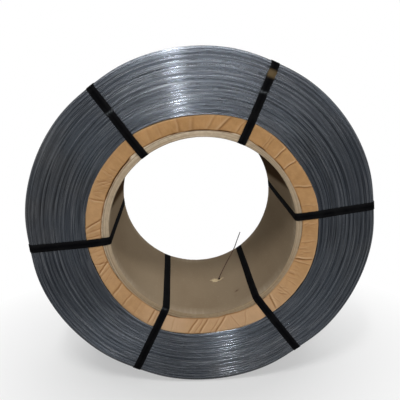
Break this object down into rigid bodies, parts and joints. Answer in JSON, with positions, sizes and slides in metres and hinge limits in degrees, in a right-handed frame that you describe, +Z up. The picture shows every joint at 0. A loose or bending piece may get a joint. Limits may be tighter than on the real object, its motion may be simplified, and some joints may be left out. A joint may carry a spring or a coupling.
{
  "type": "strapped coil of steel wire on a cardboard core",
  "caption": "Coil of dark drawn steel wire wound on a cardboard core tube over a kraft paper sleeve, held by black straps round its section and standing on its rim.",
  "frame": {"origin": "on the ground under the middle of the coil, at the middle of the underside of its box", "axes": "X to the right across the front face, Y along the coil's axis from the front face to the back, Z up"},
  "size_m": [0.5655, 0.2452, 0.566],
  "materials": {
    "steel_wire": "dark drawn wire with a thin film of oil",
    "kraft_paper": "matte and creased",
    "cardboard": "matte, laminated in plies",
    "strapping": "smooth, slightly glossy"
  },
  "bodies": {
    "root": {"wire_coil": "steel_wire", "kraft_sleeve": "kraft_paper", "core_tube": "cardboard", "strap_1": "strapping", "strap_2": "strapping", "strap_3": "strapping", "strap_4": "strapping", "strap_5": "strapping", "strap_6": "strapping"}
  },
  "joints": []
}
